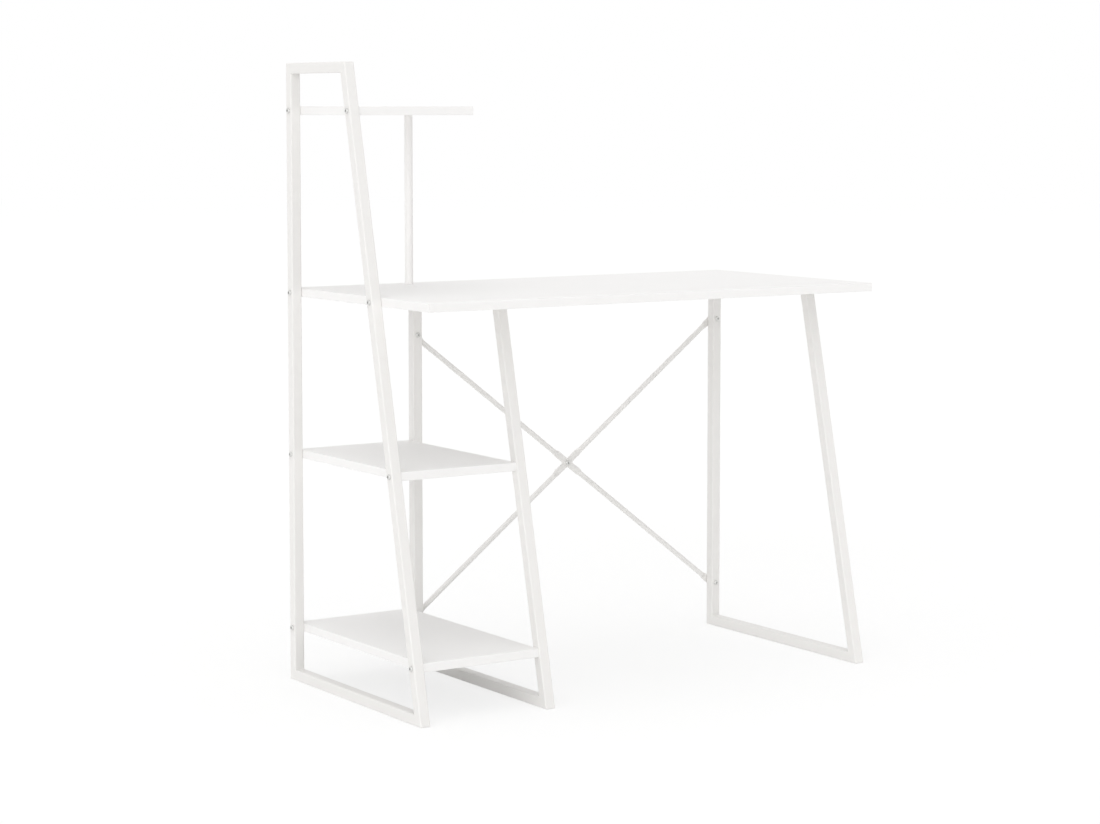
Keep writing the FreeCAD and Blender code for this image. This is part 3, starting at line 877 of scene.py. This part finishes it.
def latheTree(name, look, ringRules):
    tree, bench, given = startTree(name, look["inputs"])
    rings = ringRules({label: given.also(label) for label in look["inputs"]})
    around, last = latheLook["around"], len(rings) - 1
    sheet = bench.make(
        "GeometryNodeMeshGrid", {},
        {"Size X": around, "Size Y": last, "Vertices X": around + 1, "Vertices Y": last + 1},
    )
    spot = bench.make("ShaderNodeSeparateXYZ", {}, {0: bench.make("GeometryNodeInputPosition")})
    turn = (spot.also("X") + around / 2) * (2 * math.pi / around)
    ring = spot.also("Y") + last / 2
    whole = bench.make("FunctionNodeFloatToInt", {"rounding_mode": "ROUND"}, {0: ring})
    picks = []
    for column in range(3):
        values = {0: whole, **{index + 1: rule[column] for index, rule in enumerate(rings)}}
        settings = {"data_type": "FLOAT", "items": last + 1}
        picks.append(bench.make("GeometryNodeIndexSwitch", settings, values))
    radius, height, hexShare = picks
    sector = turn % hexSector - hexSector / 2
    flatReach = 1 / sector.calc("COSINE")
    reach = radius * (1 + (flatReach - 1) * hexShare)
    place = bench.make(
        "ShaderNodeCombineXYZ", {},
        {0: reach * turn.calc("COSINE"), 1: reach * turn.calc("SINE"), 2: height},
    )
    marked = bench.make(
        "GeometryNodeStoreNamedAttribute", {"data_type": "FLOAT", "domain": "FACE"},
        {"Geometry": sheet, "Name": "inSocket", "Value": ring > look["socketFrom"]},
    )
    turned = bench.make("GeometryNodeSetPosition", {}, {"Geometry": marked, "Position": place})
    facing = bench.make("GeometryNodeFlipFaces", {}, {"Mesh": closeSeams(bench, turned)})
    crisp = softenEdges(bench, facing, latheLook["crispAngle"])
    way = bench.make(
        "GeometryNodeInputNamedAttribute", {"data_type": "FLOAT_VECTOR"}, {"Name": "way"},
    )
    aligned = bench.make("FunctionNodeAlignRotationToVector", {"axis": "Z"}, {"Vector": way})
    twist = bench.make(
        "FunctionNodeRandomValue", {"data_type": "FLOAT"},
        {"Min": 0.0, "Max": 2 * math.pi, "Seed": given.also("Seed")}, "Value",
    )
    spin = bench.make("FunctionNodeAxisAngleToRotation", {}, {"Axis": (0, 0, 1), "Angle": twist})
    rotation = bench.make(
        "FunctionNodeRotateRotation", {"rotation_space": "LOCAL"}, {0: aligned, 1: spin},
    )
    placed = bench.make(
        "GeometryNodeInstanceOnPoints", {},
        {"Points": given.also("Geometry"), "Instance": crisp, "Rotation": rotation},
    )
    plated = realWith(bench, placed, zincSteel)
    # faces in the socket take the darkened zinc: painted shade in the recess
    inSocket = bench.make(
        "GeometryNodeInputNamedAttribute", {"data_type": "FLOAT"}, {"Name": "inSocket"},
    )
    shaded = bench.make(
        "GeometryNodeSetMaterial", {},
        {"Geometry": plated, "Selection": inSocket > 0.5, "Material": zincSocketPaintedShade},
    )
    bench.make("NodeGroupOutput", {}, {"Geometry": shaded})
    return tree


boltLook = {
    "inputs": {
        "Shank Diameter": 0.006, "Tip": 0.001, "Head Diameter": 0.0105, "Head Height": 0.0033,
        "Crown Diameter": 0.006, "Rim": 0.0003, "Socket Flats": 0.004, "Socket Depth": 0.002,
        "Length": 0.035, "Seed": 7,
    },
    "domeSteps": 6,
    "socketFrom": 13,  # rings past this one lie in the socket
}


def boltRings(size):
    shank, head = size["Shank Diameter"] / 2, size["Head Diameter"] / 2
    crown, socket = size["Crown Diameter"] / 2, size["Socket Flats"] / 2
    tip, rim, length = size["Tip"], size["Rim"], size["Length"]
    tall, deep = size["Head Height"], size["Socket Depth"]
    domeSteps = boltLook["domeSteps"]
    rings = [
        (0.0, length, 0.0),
        (shank - tip, length, 0.0),
        (shank, length - tip, 0.0),
        (shank, 0.0, 0.0),
        (head - rim, 0.0, 0.0),
        (head, 0.0 - rim, 0.0),
    ]
    for step in range(1, domeSteps + 1):  # dome from the rim up to the flat crown
        angle = math.radians(90 * step / domeSteps)
        reach = crown + (head - crown) * math.cos(angle)
        rings.append((reach, 0.0 - rim - (tall - rim) * math.sin(angle), 0.0))
    rings += [
        (socket + rim, 0.0 - tall, 1.0),
        (socket, rim - tall, 1.0),
        (socket, deep - tall, 1.0),
        (0.0, deep - tall + rim, 1.0),
    ]
    return rings


screwLook = {
    "inputs": {
        "Shank Diameter": 0.006, "Tip": 0.001, "Head Diameter": 0.0117, "Head Height": 0.003,
        "Sink": 0.0002, "Rim": 0.0002, "Socket Flats": 0.004, "Socket Depth": 0.002,
        "Length": 0.031, "Seed": 5,
    },
    "socketFrom": 7,
}


def screwRings(size):
    shank, head = size["Shank Diameter"] / 2, size["Head Diameter"] / 2
    socket, deep = size["Socket Flats"] / 2, size["Socket Depth"]
    tip, rim, sink, length = size["Tip"], size["Rim"], size["Sink"], size["Length"]
    return [
        (0.0, length, 0.0),
        (shank - tip, length, 0.0),
        (shank, length - tip, 0.0),
        (shank, size["Head Height"], 0.0),
        (head, sink + rim, 0.0),
        (head - rim, sink, 0.0),
        (socket + rim, sink, 1.0),
        (socket, sink + rim, 1.0),
        (socket, sink + deep, 1.0),
        (0.0, sink + deep + rim, 1.0),
    ]


nutLook = {
    "inputs": {"Flats": 0.010, "Height": 0.005, "Bore": 0.0063, "Chamfer": 0.0006, "Seed": 3},
    "topFlat": 0.96,
    "rimReach": 1.06,
    "rimDrop": 0.6,
    "rimHexagon": 0.35,
    "baseRise": 0.35,
    "baseFlat": 0.98,
    "socketFrom": 50,  # more than its rings, so it has no socket
}


def nutRings(size):
    half, bore = size["Flats"] / 2, size["Bore"] / 2
    tall, ease = size["Height"], size["Chamfer"]
    return [
        (bore, 0.0, 0.0),
        (bore, tall - ease, 0.0),
        (bore + ease, tall, 0.0),
        (half * nutLook["topFlat"], tall, 0.0),
        (half * nutLook["rimReach"], tall - ease * nutLook["rimDrop"], nutLook["rimHexagon"]),
        (half, tall - ease, 1.0),
        (half, ease * nutLook["baseRise"], 1.0),
        (half * nutLook["baseFlat"], 0.0, 0.0),
        (bore + ease, 0.0, 0.0),
        (bore, 0.0, 0.0),
    ]


boltTree = latheTree("boltLathe", boltLook, boltRings)
screwTree = latheTree("screwLathe", screwLook, screwRings)
nutTree = latheTree("nutLathe", nutLook, nutRings)

leftFrame, middleFrame, rightFrame = (frames[side] for side in sideNames)
boardMiddles = {
    board: sum(corner.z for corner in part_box(f"{board}_panel")) / 2 for board in boardNames
}


def frameBoltPoints(across, boards):
    points = []
    legMiddle = leftFrame["front"] + leftFrame["legDepth"] / 2
    for board in boards:
        level = boardMiddles[board]
        points.append((across, leftFrame["rear"] - leftFrame["tube"] / 2, level))
        points.append((across, legMiddle + leftFrame["lean"] * level, level))
    return points


def topBoltPoints(inset):
    points = []
    for side in (middleFrame, rightFrame):
        front = side["front"] + side["lean"] * side["height"]
        for back in (front + inset, side["rear"] - inset):
            across, level = side["left"] + side["tube"] / 2, side["height"] - side["barHeight"]
            points.append((across, back, level))
    return points


topBoltInset = 0.060
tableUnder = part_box("tabletop_panel")[0].z
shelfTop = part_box("upper_shelf_panel")[1].z
boltSets = {
    "left_frame_bolts": {
        "points": frameBoltPoints(leftFrame["left"], boardNames),
        "way": (1, 0, 0), "length": 0.035,
    },
    "middle_frame_bolts": {
        "points": frameBoltPoints(middleFrame["right"], ("middle_shelf", "lower_shelf")),
        "way": (-1, 0, 0), "length": 0.035,
    },
    "tabletop_bolts": {
        "points": topBoltPoints(topBoltInset),
        "way": (0, 0, 1), "length": 0.021,
    },
    "shelf_post_lower_bolt": {
        "points": [(postCentre.x, postCentre.y, tableUnder)],
        "way": (0, 0, 1), "length": 0.031,
    },
    "brace_end_bolts": {
        "points": [(across, postFace, level) for across, level in braceEnds],
        "way": (0, 1, 0), "length": 0.028,
    },
    "brace_centre_bolt": {
        "points": [(crossing[0], rearFace - flatThick / 2, crossing[1])],
        "way": (0, 1, 0), "length": 0.010,
    },
}
boltSeed = boltLook["inputs"]["Seed"]
for number, (node, bolts) in enumerate(boltSets.items()):
    settings = {**boltLook["inputs"], "Length": bolts["length"], "Seed": boltSeed + number}
    ways = [bolts["way"]] * len(bolts["points"])
    mesh = runTree(node, boltTree, bolts["points"], settings, ways=ways)
    addPiece(f"{node}_steel", mesh, [node])

screwNode = "shelf_post_upper_screw"
screwSpot = (postCentre.x, postCentre.y, shelfTop)
mesh = runTree(screwNode, screwTree, [screwSpot], screwLook["inputs"], ways=[(0, 0, -1)])
addPiece(f"{screwNode}_steel", mesh, [screwNode])

endSeat = rearFace + flatThick  # behind the pressed end of one brace
crossingSeat = rearFace + flatThick * 1.5  # behind both where they cross
nutSets = {
    "brace_end_nuts": [(across, endSeat, level) for across, level in braceEnds],
    "brace_centre_nut": [(crossing[0], crossingSeat, crossing[1])],
}
for node, points in nutSets.items():
    mesh = runTree(node, nutTree, points, nutLook["inputs"], ways=[(0, 1, 0)] * len(points))
    addPiece(f"{node}_steel", mesh, [node])
print("bolts and nuts made")


# hardware that stays as it came from the frame
for node in ("edge_insert_nuts", "tabletop_insert_nuts", "shelf_post_plugs"):
    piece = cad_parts[node]
    piece.data.materials.clear()
    piece.data.materials.append(zincSteel)
print("inner hardware plated")


# studio: pale floor, white surround that is brighter on the front left and overhead, one soft sun
studio = {
    "floorColour": (0.97, 0.97, 0.965, 1),
    "floorReach": 30,
    "floorDrop": 0.0004,
    "floorGlow": 0.7,
    "farGlow": 0.2,
    "glowStart": 0.7,
    "glowEnd": 2.2,
    "hazeStart": 12,
    "hazeEnd": 26,
    "surround": 0.37,
    "brightSide": 0.70,
    "brightWay": (-0.742, -0.663, 0.09),
    "overhead": 1.4,
    "overheadFocus": 4.0,
    "sunStrength": 0.58,
    "sunWay": (0.729, 0.647, -0.216),
    "sunSoftness": 50,
    "sunDistance": 3,
}
white = (1, 1, 1, 1)


def seenDirectly(bench):
    path = bench.make("ShaderNodeLightPath")
    seen = path.also("Is Camera Ray").calc("MAXIMUM", path.also("Is Glossy Ray"))
    return seen.calc("MAXIMUM", path.also("Is Transmission Ray"))


def fadeBetween(bench, away, near, far, nearValue, farValue):
    return bench.make(
        "ShaderNodeMapRange", {"interpolation_type": "SMOOTHSTEP"},
        {0: away, 1: near, 2: far, 3: nearValue, 4: farValue},
    )


def makeFloor(look):
    mesh = bpy.data.meshes.new("floor")
    reach, level = look["floorReach"], -look["floorDrop"]
    corners = ((-reach, -reach), (reach, -reach), (reach, reach), (-reach, reach))
    mesh.from_pydata([(across, back, level) for across, back in corners], [], [(0, 1, 2, 3)])
    floor = bpy.data.objects.new("floor", mesh)
    bpy.context.scene.collection.objects.link(floor)
    material, bench = newMaterial("floorPale", look["floorColour"])
    place = bench.make("ShaderNodeTexCoord", output="Object")
    away = bench.make("ShaderNodeVectorMath", {"operation": "LENGTH"}, {0: place}, "Value")
    fade = fadeBetween(
        bench, away, look["glowStart"], look["glowEnd"], look["floorGlow"], look["farGlow"],
    )
    haze = fadeBetween(bench, away, look["hazeStart"], look["hazeEnd"], 0.0, 1.0)
    fade = fade + (1 - fade) * haze
    matte = bench.make("ShaderNodeBsdfDiffuse", {}, {"Color": look["floorColour"]})
    glow = bench.make("ShaderNodeEmission", {}, {"Color": white, "Strength": 1.0})
    sockets = {0: seenDirectly(bench) * fade, 1: matte, 2: glow}
    mixed = bench.make("ShaderNodeMixShader", {}, sockets)
    bench.make("ShaderNodeOutputMaterial", {}, {"Surface": mixed})
    mesh.materials.append(material)


def makeWorld(look):
    world = bpy.data.worlds.new("surround")
    bpy.context.scene.world = world
    world.use_nodes = True
    world.node_tree.nodes.clear()
    bench = Bench(world.node_tree)
    way = bench.make("ShaderNodeTexCoord", output="Generated")
    toward = bench.make(
        "ShaderNodeVectorMath", {"operation": "DOT_PRODUCT"},
        {0: way, 1: look["brightWay"]}, "Value",
    )
    rise = bench.make("ShaderNodeSeparateXYZ", {}, {0: way}, "Z").calc("MAXIMUM", 0.0)
    light = look["surround"] + look["brightSide"] * toward.calc("MAXIMUM", 0.0)
    light = light + look["overhead"] * rise.calc("POWER", look["overheadFocus"])
    strength = light + seenDirectly(bench) * (1 - light)
    back = bench.make("ShaderNodeBackground", {}, {"Color": white, "Strength": strength})
    bench.make("ShaderNodeOutputWorld", {}, {"Surface": back})


def makeSun(look):
    lamp = bpy.data.lights.new("softSun", "SUN")
    lamp.energy = look["sunStrength"]
    lamp.angle = math.radians(look["sunSoftness"])
    sun = bpy.data.objects.new("softSun", lamp)
    way = Vector(look["sunWay"])
    sun.rotation_mode = "QUATERNION"
    sun.rotation_quaternion = way.to_track_quat("-Z", "Y")
    sun.location = -look["sunDistance"] * way
    bpy.context.scene.collection.objects.link(sun)


makeFloor(studio)
makeWorld(studio)
makeSun(studio)
print("studio made")


# camera, at the photograph's viewing angle
shot = {
    "aim": (-0.06501, 0.01214, 0.68630),
    "azimuth": -33.306,
    "elevation": 4.556,
    "distance": 5.08175,
    "lens": 87.114,
    "sensor": 36,
    "shiftY": -0.0855,
    "farClip": 200,
}


def makeCamera(look):
    lens = bpy.data.cameras.new("deskCamera")
    lens.lens = look["lens"]
    lens.sensor_width = look["sensor"]
    lens.shift_y = look["shiftY"]
    lens.clip_end = look["farClip"]
    camera = bpy.data.objects.new("deskCamera", lens)
    bpy.context.scene.collection.objects.link(camera)
    turn, tilt = math.radians(look["azimuth"]), math.radians(look["elevation"])
    level = math.cos(tilt)
    back = Vector((math.sin(turn) * level, -math.cos(turn) * level, math.sin(tilt)))
    camera.location = Vector(look["aim"]) + back * look["distance"]
    camera.rotation_mode = "QUATERNION"
    camera.rotation_quaternion = (-back).to_track_quat("-Z", "Y")
    bpy.context.scene.camera = camera


makeCamera(shot)
bpy.context.scene.view_settings.view_transform = "Standard"
print("camera set")
